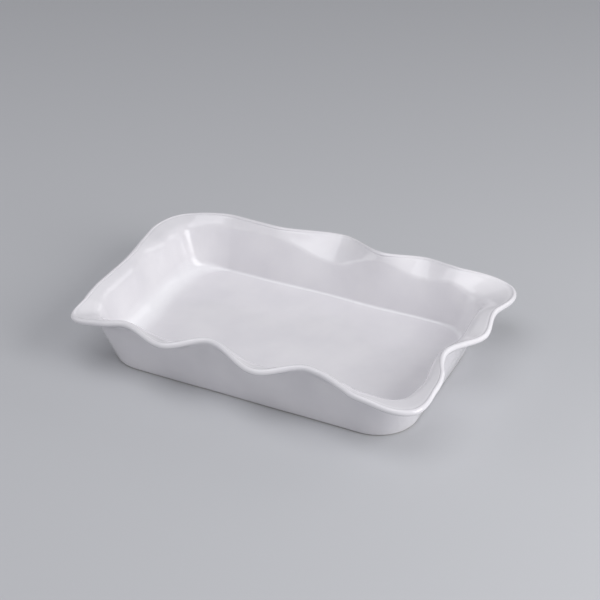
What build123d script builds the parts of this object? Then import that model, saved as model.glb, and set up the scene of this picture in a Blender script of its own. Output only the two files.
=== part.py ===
"""Ruffled stoneware serving dish: a slab-built clay body under a fired glaze.

The dish is a deep rounded rectangle.  Its wall leans outwards from a flat floor, bends over at a
crease and runs out as a flange that waves in and out, so that the lip is a ruffle.  The frame has
+Z up and the long side along X.  The origin is on the plane of the foot, under the middle of the
overall size.
"""

import math
import os

from build123d import *

# Driving sizes, in millimetres -----------------------------------------------------------------
BASE_LENGTH = 304.0  # outline of the base, along X
BASE_WIDTH = 190.0  # outline of the base, along Y
BASE_CORNER = 39.0  # radius of the corners of the base outline
BASE_MIDDLE = (-1.0, -4.5)  # middle of the base, as the ruffle stands out further on two sides
WALL = 6.0  # thickness of the wall and the flange over the glaze
WALL_LEAN = 0.17  # outward run of the wall for each unit of height where the rim has no flare
FLARE_SHARE = 0.45  # part of the flare that the wall under the flange leans out to meet
TUCK_SHARE = 0.9  # the same in the middle of the tuck, where the left wall runs out to the lip
TUCK_PLACE = 3.42  # place of the middle of the tuck, counted as for the ruffle below
TUCK_REACH = 0.2  # half the tuck's length, as a part of the side
RIM_HEIGHT = 61.0  # middle of the lip above the foot plane where the wall runs straight up
LIP_DROP = 0.28  # height that the lip loses for each unit of flare
FLOOR_TOP = 8.0  # glazed floor above the foot plane
FLOOR_BEND = 7.0  # radius between the floor and the wall, at the front and the right
LEFT_FLOOR_BEND = 24.0  # the same at the left
BACK_FLOOR_BEND = 3.5  # the same at the back
BASE_EDGE = 3.0  # radius of the outer edge of the base
CREASE_RADIUS = 12.0  # radius of the bend between the wall and the flange, on their middle line
BACK_CREASE_RADIUS = 6.0  # the same at the back
CREASE_DEPTH = 5.0  # crease below the lip where the rim has no flare
CREASE_DROP = 0.25  # height that the crease loses for each unit of flare
BACK_CREASE_DROP = 0.68  # the same at the back
GLAZE = 0.4  # thickness of the glaze
GLAZE_LINE = 1.0  # height above the foot plane where the outer glaze stops
FOOT_WIDTH = 9.0  # width of the bare ring that the dish stands on
RECESS = 1.5  # depth of the bare clay's hollow inside the foot ring

# The ruffle, as (place, flare) from the front left corner round the front, right, back and left.
# The whole number of a place counts the corners passed and its fraction is the way along the side.
# Flare is how far the middle of the lip stands out from where the leaning wall alone would put it.
RUFFLE = [
    (0.00, 31.0),
    (0.05, 18.0),
    (0.105, 7.5),
    (0.255, 19.0),
    (0.395, 1.0),
    (0.58, 19.5),
    (0.73, 2.0),
    (0.92, 18.5),
    (1.00, 33.5),
    (1.10, 20.5),
    (1.33, 5.5),
    (1.64, 25.0),
    (1.83, 20.0),
    (1.99, 40.5),
    (2.085, 12.5),
    (2.19, 18.0),
    (2.33, 1.5),
    (2.52, 28.5),
    (2.74, 5.0),
    (2.94, 9.5),
    (3.07, 24.5),
    (3.30, 19.5),
    (3.60, 12.5),
    (3.85, 13.0),
    (3.93, 17.5),
]

POINTS_PER_SIDE = 44  # points that carry a level line along one side
BEND_STEPS = 4  # spans of a section's bend, each between two level lines
LIP_STEPS = 6  # spans of a section's lip
SECTORS = 8  # faces that each band of the surface is cut into round the dish


def flare_at(place):
    """Flare at a place round the dish, eased between its stations without overshoot."""
    count = len(RUFFLE)
    here = max(index for index in range(count) if RUFFLE[index][0] <= place)
    near = [divmod(here + step, count) for step in (-1, 0, 1, 2)]
    places = [RUFFLE[index][0] + 4 * lap for lap, index in near]
    flares = [RUFFLE[index][1] for _, index in near]
    rises = [(flares[i + 1] - flares[i]) / (places[i + 1] - places[i]) for i in range(3)]
    slopes = [2 * a * b / (a + b) if a * b > 0 else 0.0 for a, b in zip(rises, rises[1:])]
    span = places[2] - places[1]
    t = (place - places[1]) / span
    start, end = (1 - t) ** 2 * (1 + 2 * t), t * t * (3 - 2 * t)
    start_pull, end_pull = t * (1 - t) ** 2 * span, t * t * (t - 1) * span
    return flares[1] * start + flares[2] * end + slopes[0] * start_pull + slopes[1] * end_pull


def outline_at(place):
    """Point of the base outline at a place round the dish, and the direction straight out."""
    side = int(place) % 4
    length, depth = (BASE_LENGTH, BASE_WIDTH) if side % 2 == 0 else (BASE_WIDTH, BASE_LENGTH)
    heading = 90.0 * side - 90.0
    straight = length - 2 * BASE_CORNER
    half_arc = BASE_CORNER * math.pi / 4
    run = (place % 1) * (straight + 2 * half_arc) - half_arc
    past = min(run, 0.0) + max(run - straight, 0.0)
    outward = Vector(1, 0).rotate(Axis.Z, heading + math.degrees(past / BASE_CORNER))
    along = min(max(run, 0.0), straight) - straight / 2
    centre = Vector(along, BASE_CORNER - depth / 2).rotate(Axis.Z, heading + 90)
    return centre + outward * BASE_CORNER, outward


def direction(degrees):
    """Unit vector in a section, at an angle above level."""
    return Vector(1, 0).rotate(Axis.Z, degrees)


def arc(centre, radius, first, last, steps):
    """Points round an arc, from one angle to another."""
    turns = [first + (last - first) * step / steps for step in range(steps + 1)]
    return [centre + direction(turn) * radius for turn in turns]


def share_at(place):
    """Part of the flare that the wall leans out to meet, at a place round the dish."""
    swell = max(1 - ((place - TUCK_PLACE) / TUCK_REACH) ** 2, 0) ** 2
    return FLARE_SHARE + swell * (TUCK_SHARE - FLARE_SHARE)


def section(place, outward, skin):
    """Section of the dish at one place, as the points of the level lines of each band of faces.

    X is the distance out from the base outline and Y the height above the foot plane.  skin is
    the depth of the surface inside the glaze: 0 on the glaze, GLAZE on the clay under it.
    """
    at_back = max(outward.Y, 0) ** 6
    at_left = max(-outward.X, 0) ** 2
    crease_radius = CREASE_RADIUS + at_back * (BACK_CREASE_RADIUS - CREASE_RADIUS)
    crease_drop = CREASE_DROP + at_back * (BACK_CREASE_DROP - CREASE_DROP)
    left_more = at_left * (LEFT_FLOOR_BEND - FLOOR_BEND)
    back_more = at_back * (BACK_FLOOR_BEND - FLOOR_BEND)
    bend_radius = FLOOR_BEND + left_more + back_more + skin

    half = WALL / 2 - skin
    flare = flare_at(place)
    lean = WALL_LEAN + share_at(place) * flare / RIM_HEIGHT
    steep = 90 - math.degrees(math.atan(lean))
    wall_way, wall_out = direction(steep), direction(steep - 90)
    foot = Vector(-WALL / 2 / wall_way.Y, 0)
    lip = foot + Vector(WALL_LEAN * RIM_HEIGHT + flare, RIM_HEIGHT - LIP_DROP * flare)
    crease = foot + wall_way * ((RIM_HEIGHT - CREASE_DEPTH - crease_drop * flare) / wall_way.Y)
    slope = math.degrees(math.atan2(lip.Y - crease.Y, lip.X - crease.X))
    crease_tangent = crease_radius * math.tan(math.radians(steep - slope) / 2)
    crease_centre = crease - wall_way * crease_tangent + wall_out * crease_radius
    under_crease = arc(crease_centre, crease_radius - half, steep + 90, slope + 90, BEND_STEPS)
    over_crease = arc(crease_centre, crease_radius + half, slope + 90, steep + 90, BEND_STEPS)

    edge_radius = BASE_EDGE + GLAZE - skin
    edge_tangent = BASE_EDGE * math.tan(math.radians(steep) / 2)
    edge_centre = Vector(-GLAZE / wall_way.Y - edge_tangent, BASE_EDGE)
    edge_start = -math.degrees(math.asin((BASE_EDGE - GLAZE_LINE) / edge_radius))
    bare_edge = arc(edge_centre, edge_radius, -90, edge_start, BEND_STEPS)
    base_edge = arc(edge_centre, edge_radius, edge_start, steep - 90, BEND_STEPS)

    floor = FLOOR_TOP - skin
    inner = foot - wall_out * half
    floor_corner = inner + wall_way * ((floor - inner.Y) / wall_way.Y)
    bend_tangent = bend_radius * math.tan(math.radians(steep) / 2)
    bend_centre = floor_corner + Vector(-bend_tangent, bend_radius)
    floor_bend = arc(bend_centre, bend_radius, steep - 90, -90, BEND_STEPS)

    lip_round = arc(lip, half, slope - 90, slope + 90, LIP_STEPS)
    return [
        bare_edge,
        base_edge,
        [base_edge[-1], under_crease[0]],
        under_crease,
        [under_crease[-1], lip_round[0]],
        lip_round,
        [lip_round[-1], over_crease[0]],
        over_crease,
        [over_crease[-1], floor_bend[0]],
        floor_bend,
    ]


def level_line(points, outlines):
    """Closed smooth line round the dish through one point of every section, cut into sectors."""
    ring = [base + out * point.X + Vector(0, 0, point.Y) for (base, out), point in zip(outlines, points)]
    marks = [step / len(ring) for step in range(len(ring) + 1)]
    line = Edge.make_spline(ring, periodic=True, parameters=marks)
    return Wire([line.trim(part / SECTORS, (part + 1) / SECTORS) for part in range(SECTORS)])


def surface(skin, first_band):
    """Faces from a band of the base edge over the lip to the floor, and the line they start at."""
    places = [step / POINTS_PER_SIDE for step in range(4 * POINTS_PER_SIDE)]
    outlines = [outline_at(place) for place in places]
    shapes = [section(place, out, skin) for place, (_, out) in zip(places, outlines)]
    sections = [shape[first_band:] for shape in shapes]
    bands = [[level_line(points, outlines) for points in zip(*band)] for band in zip(*sections)]
    faces = [face for lines in bands for face in Shell.make_loft(lines).faces()]
    return [*faces, Face(bands[-1][-1])], bands[0][0]


def base_plate(inset, low, high):
    """Flat plate in the outline of the base drawn in by an inset, between two heights."""
    outline = RectangleRounded(BASE_LENGTH - 2 * inset, BASE_WIDTH - 2 * inset, BASE_CORNER - inset)
    return extrude(Plane.XY.offset(low) * outline, high - low)


def stoneware_body():
    """Fired clay inside the glaze, hollowed under the floor so that it stands on a ring."""
    faces, foot_line = surface(GLAZE, 0)
    return Solid(Shell([*faces, Face(foot_line)])) - base_plate(BASE_EDGE + FOOT_WIDTH, 0, RECESS)


def glaze_coat():
    """Glaze over the inside, the lip and the outside, down to the line wiped off above the foot."""
    glossy, glossy_line = surface(0, 1)
    fused, fused_line = surface(GLAZE, 1)
    return Solid(Shell([*glossy, *fused, Face(glossy_line, [fused_line])]))


def underside_glaze():
    """Glaze in the hollow inside the foot ring."""
    return base_plate(BASE_EDGE + FOOT_WIDTH, RECESS - GLAZE, RECESS)


PARTS = {
    "stoneware_body": stoneware_body,
    "glaze_coat": glaze_coat,
    "underside_glaze": underside_glaze,
}

if __name__ == "__main__":
    os.makedirs("parts", exist_ok=True)
    for name, make in PARTS.items():
        piece = make().moved(Location((*BASE_MIDDLE, 0)))
        export_step(piece, f"parts/{name}.step")
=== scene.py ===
import math

import bpy
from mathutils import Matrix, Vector


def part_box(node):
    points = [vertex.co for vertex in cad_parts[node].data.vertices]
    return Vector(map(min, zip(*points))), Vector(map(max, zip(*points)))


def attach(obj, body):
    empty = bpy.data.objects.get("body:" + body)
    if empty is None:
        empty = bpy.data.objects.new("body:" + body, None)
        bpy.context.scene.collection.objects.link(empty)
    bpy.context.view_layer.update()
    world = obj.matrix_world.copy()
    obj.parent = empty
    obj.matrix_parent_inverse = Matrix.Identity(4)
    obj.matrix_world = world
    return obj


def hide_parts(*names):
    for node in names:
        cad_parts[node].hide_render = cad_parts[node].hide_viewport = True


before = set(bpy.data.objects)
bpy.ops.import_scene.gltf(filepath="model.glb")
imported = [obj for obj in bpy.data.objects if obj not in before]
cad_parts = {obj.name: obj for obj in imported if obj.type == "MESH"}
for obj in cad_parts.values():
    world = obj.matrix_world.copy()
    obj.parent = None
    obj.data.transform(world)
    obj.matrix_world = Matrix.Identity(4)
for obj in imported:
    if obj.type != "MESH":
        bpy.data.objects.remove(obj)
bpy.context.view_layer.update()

MM = 0.001

# Sizes of the dish, in millimetres, as it was designed --------------------------------------------
SIZES = {
    "Base length": 304.0,
    "Base width": 190.0,
    "Base corner": 39.0,
    "Wall": 6.0,
    "Rim height": 61.0,
    "Crease depth": 5.0,
    "Crease radius": 12.0,
    "Back crease radius": 6.0,
    "Floor top": 8.0,
    "Floor bend": 7.0,
    "Left floor bend": 24.0,
    "Back floor bend": 3.5,
    "Base edge": 3.0,
    "Glaze": 0.4,
    "Glaze line": 1.0,
    "Foot width": 9.0,
    "Recess": 1.5,
    "Foot round": 0.4,
    "Lip line": 0.42,
    "Hand wobble": 0.22,
}
# Slopes and shares of the section, without a unit
RATIOS = {
    "Wall lean": 0.17,
    "Flare share": 0.45,
    "Tuck share": 0.9,
    "Tuck place": 3.42,
    "Tuck reach": 0.2,
    "Lip drop": 0.28,
    "Crease drop": 0.25,
    "Back crease drop": 0.68,
}

# The ruffle: (place round the dish, millimetres that the lip stands out past the leaning wall).
# The whole number of a place counts the corners passed, from the front left one.
RUFFLE = [
    (0.00, 31.0), (0.05, 18.0), (0.105, 7.5), (0.255, 19.0), (0.395, 1.0), (0.58, 19.5),
    (0.73, 2.0), (0.92, 18.5), (1.00, 33.5), (1.10, 20.5), (1.33, 5.5), (1.64, 25.0),
    (1.83, 20.0), (1.99, 40.5), (2.085, 12.5), (2.19, 18.0), (2.33, 1.5), (2.52, 28.5),
    (2.74, 5.0), (2.94, 9.5), (3.07, 24.5), (3.30, 19.5), (3.60, 12.5), (3.85, 13.0),
    (3.93, 17.5),
]

PLACES_ROUND = 560
STEPS_PER_BAND = 8
COUNTS = {
    "Places round": PLACES_ROUND, "Steps per band": STEPS_PER_BAND, "Rows in a pass": 1, "Passes": 1,
}
WOBBLE_LENGTH = 0.07  # metres from one swell of the wall to the next
LIP_LINE_BANDS = (10.99, 11.25, 11.26, 11.4)  # bands over which the fine line sinks and comes back
OVER_CREASE = 12  # the run before this bend has its level lines closer together by the lip
LIP_CROWDING = 2.0  # power that draws those lines towards the lip
WELD_DISTANCE = 2e-6  # metres within which the points of a seam or a spine become one


def linear(hex_colour):
    """Scene-linear colour, with alpha, of an sRGB hex value."""
    channels = [int(hex_colour[i:i + 2], 16) / 255 for i in (1, 3, 5)]
    return [c / 12.92 if c <= 0.04045 else ((c + 0.055) / 1.055) ** 2.4 for c in channels] + [1.0]


def add(tree, kind, inputs=(), **settings):
    """Adds a node with its settings, sets or links its inputs, and returns its first output."""
    node = tree.nodes.new(kind)
    for name, value in settings.items():
        setattr(node, name, value)
    pairs = inputs.items() if isinstance(inputs, dict) else enumerate(inputs)
    for key, value in pairs:
        if isinstance(value, bpy.types.NodeSocket):
            tree.links.new(value, node.inputs[key])
        elif value is not None:
            node.inputs[key].default_value = value
    return next((socket for socket in node.outputs if socket.enabled), None)


# Ruffle ---------------------------------------------------------------------------------------
def flare_at(place):
    """Flare at a place round the dish, eased between its stations without overshoot."""
    count = len(RUFFLE)
    here = max(index for index in range(count) if RUFFLE[index][0] <= place)
    near = [divmod(here + step, count) for step in (-1, 0, 1, 2)]
    places = [RUFFLE[index][0] + 4 * lap for lap, index in near]
    flares = [RUFFLE[index][1] for _, index in near]
    rises = [(flares[i + 1] - flares[i]) / (places[i + 1] - places[i]) for i in range(3)]
    slopes = [2 * a * b / (a + b) if a * b > 0 else 0.0 for a, b in zip(rises, rises[1:])]
    span = places[2] - places[1]
    t = (place - places[1]) / span
    start, end = (1 - t) ** 2 * (1 + 2 * t), t * t * (3 - 2 * t)
    start_pull, end_pull = t * (1 - t) ** 2 * span, t * t * (t - 1) * span
    return flares[1] * start + flares[2] * end + slopes[0] * start_pull + slopes[1] * end_pull


def ruffle_ring():
    """Mesh of loose points, one for each place round the dish, that carries the flare there."""
    mesh = bpy.data.meshes.new("ruffle")
    mesh.vertices.add(PLACES_ROUND)
    flare = mesh.attributes.new("flare", "FLOAT", "POINT")
    places = [4 * index / PLACES_ROUND for index in range(PLACES_ROUND)]
    flare.data.foreach_set("value", [flare_at(place) * MM for place in places])
    return mesh


# The swept dish ---------------------------------------------------------------------------------
# Each line names a quantity, the Math node's operation, and its terms.
ROW_SUMS = [
    ("rows of passes", "MULTIPLY", "Rows in a pass", "Passes"),
    ("closing rows", "SUBTRACT", "Passes", 1.0),
    ("rows", "ADD", "rows of passes", "closing rows"),
    ("one more column", "ADD", "Places round", 1.0),
]
OUTLINE_SUMS = [
    ("index in rows", "DIVIDE", "index", "rows"),
    ("whole column", "FLOOR", "index in rows"),
    ("rows before", "MULTIPLY", "whole column", "rows"),
    ("open row", "SUBTRACT", "index", "rows before"),
    ("column", "MODULO", "whole column", "Places round"),
    ("two passes", "MULTIPLY", "Rows in a pass", 2.0),
    ("row", "MODULO", "open row", "two passes"),
    ("last row", "SUBTRACT", "two passes", 1.0),
    ("row back", "SUBTRACT", "last row", "row"),
    ("row of pass", "MINIMUM", "row", "row back"),
    ("rows forth", "SUBTRACT", "Rows in a pass", 0.5),
    ("second pass", "GREATER_THAN", "row", "rows forth"),
    ("skin", "MULTIPLY_ADD", "second pass", "Glaze", "First skin"),
    ("bands", "DIVIDE", "row of pass", "Steps per band"),
    ("band", "ADD", "bands", "First band"),
    ("turns", "DIVIDE", "column", "Places round"),
    ("place", "MULTIPLY", "turns", 4.0),
    ("side", "FLOOR", "place"),
    ("along side", "FRACT", "place"),
    ("odd side", "MODULO", "side", 2.0),
    ("more length", "SUBTRACT", "Base width", "Base length"),
    ("length", "MULTIPLY_ADD", "odd side", "more length", "Base length"),
    ("less depth", "MULTIPLY", "more length", -1.0),
    ("depth", "MULTIPLY_ADD", "odd side", "less depth", "Base width"),
    ("straight", "MULTIPLY_ADD", "Base corner", -2.0, "length"),
    ("half straight", "MULTIPLY", "straight", 0.5),
    ("half arc", "MULTIPLY", "Base corner", math.pi / 4),
    ("whole run", "MULTIPLY_ADD", "half arc", 2.0, "straight"),
    ("run so far", "MULTIPLY", "along side", "whole run"),
    ("run", "SUBTRACT", "run so far", "half arc"),
    ("before", "MINIMUM", "run", 0.0),
    ("beyond", "SUBTRACT", "run", "straight"),
    ("after", "MAXIMUM", "beyond", 0.0),
    ("past", "ADD", "before", "after"),
    ("on straight", "SUBTRACT", "run", "past"),
    ("along", "SUBTRACT", "on straight", "half straight"),
    ("half depth", "MULTIPLY", "depth", 0.5),
    ("towards", "SUBTRACT", "Base corner", "half depth"),
    ("side turn", "MULTIPLY", "side", math.pi / 2),
    ("heading", "SUBTRACT", "side turn", math.pi / 2),
    ("corner turn", "DIVIDE", "past", "Base corner"),
    ("outward turn", "ADD", "heading", "corner turn"),
    ("facing right", "COSINE", "outward turn"),
    ("not right", "MINIMUM", "facing right", 0.0),
    ("at left", "MULTIPLY", "not right", "not right"),
    ("facing back", "SINE", "outward turn"),
    ("not front", "MAXIMUM", "facing back", 0.0),
    ("at back", "POWER", "not front", 6.0),
    ("more left bend", "SUBTRACT", "Left floor bend", "Floor bend"),
    ("softer bend", "MULTIPLY_ADD", "at left", "more left bend", "Floor bend"),
    ("less back bend", "SUBTRACT", "Back floor bend", "Floor bend"),
    ("floor bend", "MULTIPLY_ADD", "at back", "less back bend", "softer bend"),
    ("less back radius", "SUBTRACT", "Back crease radius", "Crease radius"),
    ("crease radius", "MULTIPLY_ADD", "at back", "less back radius", "Crease radius"),
    ("more back drop", "SUBTRACT", "Back crease drop", "Crease drop"),
    ("crease drop", "MULTIPLY_ADD", "at back", "more back drop", "Crease drop"),
    ("half length", "MULTIPLY", "Base length", 0.5),
    ("half width", "MULTIPLY", "Base width", 0.5),
    ("spine end", "SUBTRACT", "half length", "half width"),
    ("spine start", "MULTIPLY", "spine end", -1.0),
]
SECTION_SUMS = [
    ("half wall", "MULTIPLY", "Wall", 0.5),
    ("half", "SUBTRACT", "half wall", "skin"),
    ("from tuck", "SUBTRACT", "place", "Tuck place"),
    ("tuck way", "DIVIDE", "from tuck", "Tuck reach"),
    ("tuck square", "MULTIPLY", "tuck way", "tuck way"),
    ("tuck left", "SUBTRACT", 1.0, "tuck square"),
    ("tuck inside", "MAXIMUM", "tuck left", 0.0),
    ("swell", "MULTIPLY", "tuck inside", "tuck inside"),
    ("more share", "SUBTRACT", "Tuck share", "Flare share"),
    ("share", "MULTIPLY_ADD", "swell", "more share", "Flare share"),
    ("taken up", "MULTIPLY", "flare", "share"),
    ("more lean", "DIVIDE", "taken up", "Rim height"),
    ("lean", "ADD", "Wall lean", "more lean"),
    ("steep", "ARCTAN2", 1.0, "lean"),
    ("steep sine", "SINE", "steep"),
    ("steep cosine", "COSINE", "steep"),
    ("wall foot", "DIVIDE", "half wall", "steep sine"),
    ("steep less 90", "SUBTRACT", "steep", math.pi / 2),
    ("steep plus 90", "ADD", "steep", math.pi / 2),
    ("half steep", "MULTIPLY", "steep", 0.5),
    ("steep tangent", "TANGENT", "half steep"),
    # lip and crease, on the middle line of the wall and the flange
    ("lip lost", "MULTIPLY", "flare", "Lip drop"),
    ("lip y", "SUBTRACT", "Rim height", "lip lost"),
    ("lip run", "MULTIPLY_ADD", "Rim height", "Wall lean", "flare"),
    ("lip x", "SUBTRACT", "lip run", "wall foot"),
    ("crease lost", "MULTIPLY_ADD", "flare", "crease drop", "Crease depth"),
    ("crease y", "SUBTRACT", "Rim height", "crease lost"),
    ("crease run", "MULTIPLY", "crease y", "lean"),
    ("crease x", "SUBTRACT", "crease run", "wall foot"),
    ("flange rise", "SUBTRACT", "lip y", "crease y"),
    ("flange run", "SUBTRACT", "lip x", "crease x"),
    ("slope", "ARCTAN2", "flange rise", "flange run"),
    ("slope less 90", "SUBTRACT", "slope", math.pi / 2),
    ("slope plus 90", "ADD", "slope", math.pi / 2),
    ("crease turn", "SUBTRACT", "steep", "slope"),
    ("half crease turn", "MULTIPLY", "crease turn", 0.5),
    ("crease tangent ratio", "TANGENT", "half crease turn"),
    ("crease tangent", "MULTIPLY", "crease tangent ratio", "crease radius"),
    ("crease back x", "MULTIPLY", "crease tangent", "steep cosine"),
    ("crease back y", "MULTIPLY", "crease tangent", "steep sine"),
    ("crease side x", "MULTIPLY_ADD", "crease radius", "steep sine", "crease x"),
    ("crease centre x", "SUBTRACT", "crease side x", "crease back x"),
    ("crease side y", "MULTIPLY", "crease radius", "steep cosine"),
    ("crease level", "SUBTRACT", "crease y", "crease side y"),
    ("crease centre y", "SUBTRACT", "crease level", "crease back y"),
    ("under radius", "SUBTRACT", "crease radius", "half"),
    ("over radius", "ADD", "crease radius", "half"),
    # outer edge of the base, bare below the glaze line
    ("edge radius", "ADD", "Base edge", "Glaze"),
    ("edge skin radius", "SUBTRACT", "edge radius", "skin"),
    ("edge tangent", "MULTIPLY", "Base edge", "steep tangent"),
    ("glaze out", "DIVIDE", "Glaze", "steep sine"),
    ("edge in", "ADD", "edge tangent", "glaze out"),
    ("edge centre x", "MULTIPLY", "edge in", -1.0),
    ("line drop", "SUBTRACT", "Base edge", "Glaze line"),
    ("line sine", "DIVIDE", "line drop", "edge skin radius"),
    ("line turn", "ARCSINE", "line sine"),
    ("line angle", "MULTIPLY", "line turn", -1.0),
    # floor bend
    ("floor y", "SUBTRACT", "Floor top", "skin"),
    ("bend radius", "ADD", "floor bend", "skin"),
    ("half over sine", "DIVIDE", "half", "steep sine"),
    ("wall at floor", "MULTIPLY", "floor y", "lean"),
    ("inner foot", "ADD", "half over sine", "wall foot"),
    ("floor corner x", "SUBTRACT", "wall at floor", "inner foot"),
    ("bend tangent", "MULTIPLY", "bend radius", "steep tangent"),
    ("bend centre x", "SUBTRACT", "floor corner x", "bend tangent"),
    ("bend centre y", "ADD", "floor y", "bend radius"),
    # foot ring and the hollow inside it
    ("ring in", "ADD", "Base edge", "Foot width"),
    ("ring x", "MULTIPLY", "ring in", -1.0),
    ("hollow x", "SUBTRACT", "ring x", "Foot round"),
    ("hollow y", "SUBTRACT", "Recess", "Foot round"),
    ("ring corner x", "ADD", "ring x", "Foot round"),
]
FLOOR_BAND = 14  # the bend round the floor
EDGE_BAND = 5  # the base edge's bend takes two bands, bare up to the glaze line and then glazed
# Bands of the section, in order: the bends with a straight run before each.
# (band, centre x, centre y, radius, first angle, last angle)
BENDS = [
    (1, "hollow x", "hollow y", "Foot round", math.pi / 2, 0.0),
    (3, "ring corner x", "Foot round", "Foot round", math.pi, 1.5 * math.pi),
    (EDGE_BAND, "edge centre x", "Base edge", "edge skin radius", -math.pi / 2, "steep less 90"),
    (8, "crease centre x", "crease centre y", "under radius", "steep plus 90", "slope plus 90"),
    (10, "lip x", "lip y", "half", "slope less 90", "slope plus 90"),
    (12, "crease centre x", "crease centre y", "over radius", "slope plus 90", "steep plus 90"),
    (FLOOR_BAND, "bend centre x", "bend centre y", "bend radius", "steep less 90", -math.pi / 2),
]
COAT_START = 6.0
LAST_BAND = 16.0


def work_out(tree, values, sums):
    """Adds a Math node for each line of sums, and keeps its result in values under the line's name."""
    for name, operation, *terms in sums:
        inputs = [values.get(term, term) for term in terms]
        values[name] = add(tree, "ShaderNodeMath", inputs, operation=operation)


def share_of(tree, value, first, last):
    """How far a value has gone from first to last, from 0 to 1."""
    return add(tree, "ShaderNodeMapRange", {"Value": value, "From Min": first, "From Max": last})


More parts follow.
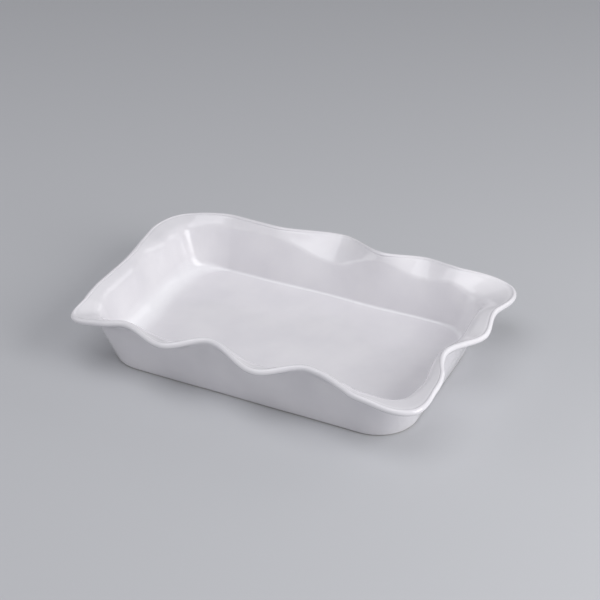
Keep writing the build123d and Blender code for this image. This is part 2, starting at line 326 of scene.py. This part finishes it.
def dish_tree():
    """Geometry Nodes tree that sweeps the section of the dish round the outline of its base."""
    tree = bpy.data.node_groups.new("ruffled dish", "GeometryNodeTree")
    face = tree.interface
    face.new_socket("Geometry", in_out="INPUT", socket_type="NodeSocketGeometry")
    for name, millimetres in SIZES.items():
        size = face.new_socket(name, in_out="INPUT", socket_type="NodeSocketFloat")
        size.default_value = millimetres * MM
    for name, amount in RATIOS.items():
        ratio = face.new_socket(name, in_out="INPUT", socket_type="NodeSocketFloat")
        ratio.default_value = amount
    for name, count in COUNTS.items():
        face.new_socket(name, in_out="INPUT", socket_type="NodeSocketInt").default_value = count
    for name in ("First band", "First skin"):
        face.new_socket(name, in_out="INPUT", socket_type="NodeSocketFloat")
    face.new_socket("Base middle", in_out="INPUT", socket_type="NodeSocketVector")
    face.new_socket("Material", in_out="INPUT", socket_type="NodeSocketMaterial")
    face.new_socket("Geometry", in_out="OUTPUT", socket_type="NodeSocketGeometry")
    start = tree.nodes.new("NodeGroupInput")
    end = tree.nodes.new("NodeGroupOutput")
    values = {socket.name: socket for socket in start.outputs if socket.name}

    values["index"] = add(tree, "GeometryNodeInputIndex")
    work_out(tree, values, ROW_SUMS)
    grid = add(tree, "GeometryNodeMeshGrid", {
        "Vertices X": values["one more column"], "Vertices Y": values["rows"]})
    work_out(tree, values, OUTLINE_SUMS)
    carried = add(tree, "GeometryNodeInputNamedAttribute", {"Name": "flare"}, data_type="FLOAT")
    values["flare"] = add(tree, "GeometryNodeSampleIndex", {
        "Geometry": values["Geometry"], "Value": carried, "Index": values["column"]}, data_type="FLOAT")
    work_out(tree, values, SECTION_SUMS)
    band = values["band"]

    # the section: bends turned by their share, with a straight run between each two
    section = None
    for number, x, y, radius, first, last in BENDS:
        x, y, radius, first, last = (values.get(term, term) for term in (x, y, radius, first, last))
        if number == EDGE_BAND:
            bare = add(tree, "ShaderNodeMapRange", {
                "Value": band, "From Min": number, "From Max": number + 1,
                "To Min": first, "To Max": values["line angle"]})
            glazed = add(tree, "ShaderNodeMapRange", {
                "Value": band, "From Min": number + 1, "From Max": number + 2,
                "To Min": values["line angle"], "To Max": last})
            past_line = add(tree, "ShaderNodeMath", [band, number + 1.0], operation="GREATER_THAN")
            turn = add(tree, "ShaderNodeMix", {
                "Factor": past_line, "A": bare, "B": glazed}, data_type="FLOAT")
        else:
            turn = add(tree, "ShaderNodeMapRange", {
                "Value": band, "From Min": number, "From Max": number + 1, "To Min": first, "To Max": last})
        centre = add(tree, "ShaderNodeCombineXYZ", {"X": x, "Y": y})
        arm = add(tree, "ShaderNodeCombineXYZ", {"X": radius})
        swung = add(tree, "ShaderNodeVectorRotate", {"Vector": arm, "Angle": turn}, rotation_type="Z_AXIS")
        point = add(tree, "ShaderNodeVectorMath", [centre, swung], operation="ADD")
        if section is None:
            section = point
        else:
            run = share_of(tree, band, number - 1, number)
            if number == OVER_CREASE:
                run = add(tree, "ShaderNodeMath", [run, LIP_CROWDING], operation="POWER")
            section = add(tree, "ShaderNodeMix", {"Factor": run, 4: section, 5: point}, data_type="VECTOR")

    # fine sunk line where the rounded lip meets the flange
    sunk_from = share_of(tree, band, LIP_LINE_BANDS[0], LIP_LINE_BANDS[1])
    sunk_to = share_of(tree, band, LIP_LINE_BANDS[3], LIP_LINE_BANDS[2])
    sunk = add(tree, "ShaderNodeMath", [sunk_from, sunk_to], operation="MULTIPLY")
    depth = add(tree, "ShaderNodeMath", [sunk, values["Lip line"]], operation="MULTIPLY")
    down = add(tree, "ShaderNodeVectorRotate", {
        "Vector": (-1, 0, 0), "Angle": values["slope plus 90"]}, rotation_type="Z_AXIS")
    sinking = add(tree, "ShaderNodeVectorMath", {0: down, "Scale": depth}, operation="SCALE")
    section = add(tree, "ShaderNodeVectorMath", [section, sinking], operation="ADD")

    # the section stands on the base outline, and closes along the spine of the base
    outward = add(tree, "ShaderNodeVectorRotate", {
        "Vector": (1, 0, 0), "Angle": values["outward turn"]}, rotation_type="Z_AXIS")
    on_side = add(tree, "ShaderNodeCombineXYZ", {"X": values["along"], "Y": values["towards"]})
    corner_centre = add(tree, "ShaderNodeVectorRotate", {
        "Vector": on_side, "Angle": values["side turn"]}, rotation_type="Z_AXIS")
    parts = add(tree, "ShaderNodeSeparateXYZ", [section]).node.outputs
    reach = add(tree, "ShaderNodeMath", [parts["X"], values["Base corner"]], operation="ADD")
    out_by = add(tree, "ShaderNodeVectorMath", {0: outward, "Scale": reach}, operation="SCALE")
    over = add(tree, "ShaderNodeVectorMath", [corner_centre, out_by], operation="ADD")
    over_x = add(tree, "ShaderNodeSeparateXYZ", [over])
    spine_x = add(tree, "ShaderNodeClamp", {
        "Value": over_x, "Min": values["spine start"], "Max": values["spine end"]})
    spine = add(tree, "ShaderNodeCombineXYZ", {"X": spine_x})
    under_close = share_of(tree, band, 1.0, 0.0)
    floor_close = share_of(tree, band, LAST_BAND - 1.0, LAST_BAND)
    close = add(tree, "ShaderNodeMath", [under_close, floor_close], operation="ADD")
    level = add(tree, "ShaderNodeMix", {"Factor": close, 4: over, 5: spine}, data_type="VECTOR")
    height = add(tree, "ShaderNodeCombineXYZ", {"Z": parts["Y"]})
    placed = add(tree, "ShaderNodeVectorMath", [level, height], operation="ADD")

    # slow unevenness of a hand-built wall, always inwards and down, and none at the foot
    noise = add(tree, "ShaderNodeTexNoise", {"Vector": placed, "Scale": 1 / WOBBLE_LENGTH, "Detail": 1.0})
    uneven = add(tree, "ShaderNodeSeparateXYZ", [noise.node.outputs["Color"]]).node.outputs
    clear_of_foot = share_of(tree, band, COAT_START + 1, COAT_START + 2)
    amount = add(tree, "ShaderNodeMath", [clear_of_foot, values["Hand wobble"]], operation="MULTIPLY")
    off_floor = share_of(tree, band, LAST_BAND - 1.0, LAST_BAND - 2.0)
    inwards = add(tree, "ShaderNodeMath", [uneven["X"], off_floor], operation="MULTIPLY")
    inwards = add(tree, "ShaderNodeMath", [inwards, -1.0], operation="MULTIPLY")
    drop = add(tree, "ShaderNodeMath", [uneven["Z"], -1.0], operation="MULTIPLY")
    pulled = add(tree, "ShaderNodeVectorMath", {0: outward, "Scale": inwards}, operation="SCALE")
    sagged = add(tree, "ShaderNodeCombineXYZ", {"Z": drop})
    moved = add(tree, "ShaderNodeVectorMath", [pulled, sagged], operation="ADD")
    wobble = add(tree, "ShaderNodeVectorMath", {0: moved, "Scale": amount}, operation="SCALE")
    placed = add(tree, "ShaderNodeVectorMath", [placed, wobble], operation="ADD")
    placed = add(tree, "ShaderNodeVectorMath", [placed, values["Base middle"]], operation="ADD")

    swept = add(tree, "GeometryNodeSetPosition", {"Geometry": grid, "Position": placed})
    swept = add(tree, "GeometryNodeStoreNamedAttribute", {"Geometry": swept, "Name": "band", "Value": band},
                data_type="FLOAT", domain="POINT")
    # where the coat turns back at the spine, the two passes only meet there
    carried_band = add(tree, "GeometryNodeInputNamedAttribute", {"Name": "band"}, data_type="FLOAT")
    turning = add(tree, "ShaderNodeMath", [carried_band, LAST_BAND - 0.001], operation="GREATER_THAN")
    passes = add(tree, "GeometryNodeDeleteGeometry", {"Geometry": swept, "Selection": turning}, domain="FACE")
    closed = add(tree, "GeometryNodeMergeByDistance", {"Geometry": passes, "Distance": WELD_DISTANCE})
    smooth = add(tree, "GeometryNodeSetShadeSmooth", {"Geometry": closed})
    real = add(tree, "GeometryNodeRealizeInstances", {"Geometry": smooth})
    painted = add(tree, "GeometryNodeSetMaterial", {"Geometry": real, "Material": values["Material"]})
    tree.links.new(painted, end.inputs["Geometry"])
    return tree


def swept_piece(name, tree, ring, material, **chosen):
    """Plain mesh object from the dish's tree, with the inputs chosen for this piece."""
    maker = bpy.data.objects.new(name + "_maker", ring)
    bpy.context.scene.collection.objects.link(maker)
    modifier = maker.modifiers.new("dish", "NODES")
    modifier.node_group = tree
    sockets = {item.name: item.identifier for item in tree.interface.items_tree if item.in_out == "INPUT"}
    for socket, value in {"Material": material, **chosen}.items():
        modifier[sockets[socket]] = value
    evaluated = maker.evaluated_get(bpy.context.evaluated_depsgraph_get())
    mesh = bpy.data.meshes.new_from_object(evaluated)
    mesh.name = name
    bpy.data.objects.remove(maker)
    piece = bpy.data.objects.new(name, mesh)
    bpy.context.scene.collection.objects.link(piece)
    return piece


# Materials --------------------------------------------------------------------------------------
def glazed_stoneware():
    """White gloss glaze, dipped and fired: a smooth glassy skin with sharp reflections of windows."""
    material = bpy.data.materials.new("white_gloss_glaze")
    material.use_nodes = True
    tree = material.node_tree
    tree.nodes.clear()
    place = add(tree, "ShaderNodeTexCoord").node.outputs["Object"]
    band = add(tree, "ShaderNodeAttribute", attribute_name="band").node.outputs["Fac"]
    # thicker and thinner glaze, in clouds of about 40 mm
    clouds = add(tree, "ShaderNodeTexNoise", {"Vector": place, "Scale": 1 / (40 * MM), "Detail": 3.0})
    cloud_share = share_of(tree, clouds, 0.3, 0.7)
    even_colour = add(tree, "ShaderNodeMix", {
        "Factor": cloud_share, 6: linear("#E3E1E5"), 7: linear("#EAE8EB")}, data_type="RGBA")
    # lighter, whiter band in the bend round the floor: partly glaze pooled thicker there, partly a painted
    # highlight along the bend
    bend_highlight_from = share_of(tree, band, FLOOR_BAND, FLOOR_BAND + 0.5)
    bend_highlight_to = share_of(tree, band, FLOOR_BAND + 1.0, FLOOR_BAND + 0.5)
    bend_highlight = add(tree, "ShaderNodeMath", [bend_highlight_from, bend_highlight_to], operation="MULTIPLY")
    # mixes in the painted highlight of the floor bend, given as thicker, whiter glaze
    glaze_colour = add(tree, "ShaderNodeMix", {
        "Factor": bend_highlight, 6: even_colour, 7: linear("#F3F2F5")}, data_type="RGBA")
    # glossy skin with a faint ripple of about 6 mm
    ripple = add(tree, "ShaderNodeTexNoise", {"Vector": place, "Scale": 1 / (6 * MM), "Detail": 1.0})
    bump = add(tree, "ShaderNodeBump", {"Height": ripple, "Strength": 1.0, "Distance": 0.02 * MM})
    gloss = add(tree, "ShaderNodeMapRange", {"Value": cloud_share, "To Min": 0.08, "To Max": 0.14})
    surface = add(tree, "ShaderNodeBsdfPrincipled", {
        "Base Color": glaze_colour, "Roughness": gloss, "IOR": 1.5, "Normal": bump})
    add(tree, "ShaderNodeOutputMaterial", {"Surface": surface})
    return material


def bare_stoneware():
    """Stoneware wiped clean of glaze before firing: matt, buff, with fine grog in it."""
    material = bpy.data.materials.new("bare_fired_stoneware")
    material.use_nodes = True
    tree = material.node_tree
    tree.nodes.clear()
    place = add(tree, "ShaderNodeTexCoord").node.outputs["Object"]
    grog = add(tree, "ShaderNodeTexNoise", {"Vector": place, "Scale": 1 / (1.2 * MM), "Detail": 2.0})
    specks = share_of(tree, grog, 0.58, 0.66)
    tone = add(tree, "ShaderNodeTexNoise", {"Vector": place, "Scale": 1 / (30 * MM), "Detail": 2.0})
    clay = add(tree, "ShaderNodeMix", {
        "Factor": tone, 6: linear("#CFC6B6"), 7: linear("#DBD3C4")}, data_type="RGBA")
    colour = add(tree, "ShaderNodeMix", {
        "Factor": specks, 6: clay, 7: linear("#A8997F")}, data_type="RGBA")
    bump = add(tree, "ShaderNodeBump", {"Height": grog, "Strength": 1.0, "Distance": 0.15 * MM})
    surface = add(tree, "ShaderNodeBsdfPrincipled", {
        "Base Color": colour, "Roughness": 0.85, "IOR": 1.5, "Normal": bump})
    add(tree, "ShaderNodeOutputMaterial", {"Surface": surface})
    return material


def pale_floor():
    """Smooth painted studio floor, pale grey and matt."""
    material = bpy.data.materials.new("painted_studio_floor")
    material.use_nodes = True
    surface = material.node_tree.nodes["Principled BSDF"]
    surface.inputs["Base Color"].default_value = linear("#C2C3C6")
    surface.inputs["Roughness"].default_value = 0.75
    return material


# Stage ------------------------------------------------------------------------------------------
FLOOR_SIZE = 12.0  # metres
MIDDLE_HEIGHT = 0.03  # metres from the foot up to the point that lights and camera face
ROOM_STRENGTH = 0.36  # light from the walls of the room, next to the soft boxes
# Soft boxes: name, azimuth and elevation in degrees, distance, width and height in metres, watts
SOFT_BOXES = [
    ("key", 82.0, 27.0, 1.5, 0.7, 1.2, 14.0, "#FFFFFF"),
    ("overhead", -15.0, 74.0, 1.9, 1.6, 1.2, 11.0, "#FBFBFF"),
    ("back_box", 140.0, 24.0, 1.8, 0.9, 0.7, 2.5, "#FFFFFF"),
    ("front_fill", -62.0, 20.0, 2.0, 1.4, 1.0, 6.5, "#FFFFFF"),
]
VIEW_AZIMUTH, VIEW_ELEVATION = 25.787, 31.838  # degrees, round from the front and up
VIEW_DISTANCE = 1.5  # metres
VIEW_MOVED = (0.00864, 0.0205)  # metres that the camera moves right and up, to frame the dish
LENS = 95.69  # millimetres, on a sensor 36 mm wide


def lay_floor(material):
    """Wide plain floor on the plane that the dish stands on."""
    mesh = bpy.data.meshes.new("floor")
    half = FLOOR_SIZE / 2
    corners = [(-half, -half, 0), (half, -half, 0), (half, half, 0), (-half, half, 0)]
    mesh.from_pydata(corners, [], [(0, 1, 2, 3)])
    mesh.materials.append(material)
    floor = bpy.data.objects.new("floor", mesh)
    bpy.context.scene.collection.objects.link(floor)


def direction_from(azimuth, elevation):
    """Unit vector from the dish, at an azimuth round from the front and an elevation, in degrees."""
    turn, rise = math.radians(azimuth), math.radians(elevation)
    return Vector((math.sin(turn) * math.cos(rise), -math.cos(turn) * math.cos(rise), math.sin(rise)))


def hang_light(name, target, azimuth, elevation, distance, width, height, power, hex_colour):
    """Soft box that faces the dish."""
    light = bpy.data.lights.new(name, "AREA")
    light.shape = "RECTANGLE"
    light.size, light.size_y = width, height
    light.energy = power
    light.color = linear(hex_colour)[:3]
    holder = bpy.data.objects.new(name, light)
    away = direction_from(azimuth, elevation)
    holder.location = target + away * distance
    holder.rotation_mode = "QUATERNION"
    holder.rotation_quaternion = away.to_track_quat("Z", "Y")
    bpy.context.scene.collection.objects.link(holder)


def set_camera(target, azimuth, elevation, distance, right, up, lens):
    """Camera that looks along one direction, with its target moved in the plane of the view."""
    back = direction_from(azimuth, elevation)
    turn = back.to_track_quat("Z", "Y")
    camera = bpy.data.objects.new("camera", bpy.data.cameras.new("camera"))
    camera.data.lens = lens
    camera.data.sensor_width = 36.0
    camera.location = target + turn @ Vector((right, up, distance))
    camera.rotation_mode = "QUATERNION"
    camera.rotation_quaternion = turn
    bpy.context.scene.collection.objects.link(camera)
    bpy.context.scene.camera = camera


# Making -----------------------------------------------------------------------------------------
glaze, clay, paint = glazed_stoneware(), bare_stoneware(), pale_floor()

low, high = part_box("underside_glaze")
base_middle = Vector(((low.x + high.x) / 2, (low.y + high.y) / 2, 0))

tree = dish_tree()
ring = ruffle_ring()
coat_bands = int(LAST_BAND - COAT_START)
coat = swept_piece("gloss_glaze", tree, ring, glaze, **{
    "Base middle": tuple(base_middle), "Rows in a pass": coat_bands * STEPS_PER_BAND + 1, "Passes": 2,
    "First band": COAT_START, "First skin": 0.0})
body = swept_piece("stoneware", tree, ring, clay, **{
    "Base middle": tuple(base_middle), "Rows in a pass": int(LAST_BAND) * STEPS_PER_BAND + 1, "Passes": 1,
    "First band": 0.0, "First skin": SIZES["Glaze"] * MM})
for piece, node, slot in ((coat, "glaze_coat", "white_glaze"), (body, "stoneware_body", "bare_stoneware")):
    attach(piece, "root")
    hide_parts(node)

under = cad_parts["underside_glaze"]
under.data.materials.clear()
under.data.materials.append(glaze)

lay_floor(paint)
world = bpy.data.worlds.new("studio")
world.use_nodes = True
background = world.node_tree.nodes["Background"]
background.inputs["Color"].default_value = linear("#E6E7EC")
background.inputs["Strength"].default_value = ROOM_STRENGTH
bpy.context.scene.world = world
bpy.context.scene.view_settings.view_transform = "Standard"

middle = base_middle + Vector((0, 0, MIDDLE_HEIGHT))
for name, *place_and_power in SOFT_BOXES:
    hang_light(name, middle, *place_and_power)
set_camera(middle, VIEW_AZIMUTH, VIEW_ELEVATION, VIEW_DISTANCE, *VIEW_MOVED, LENS)
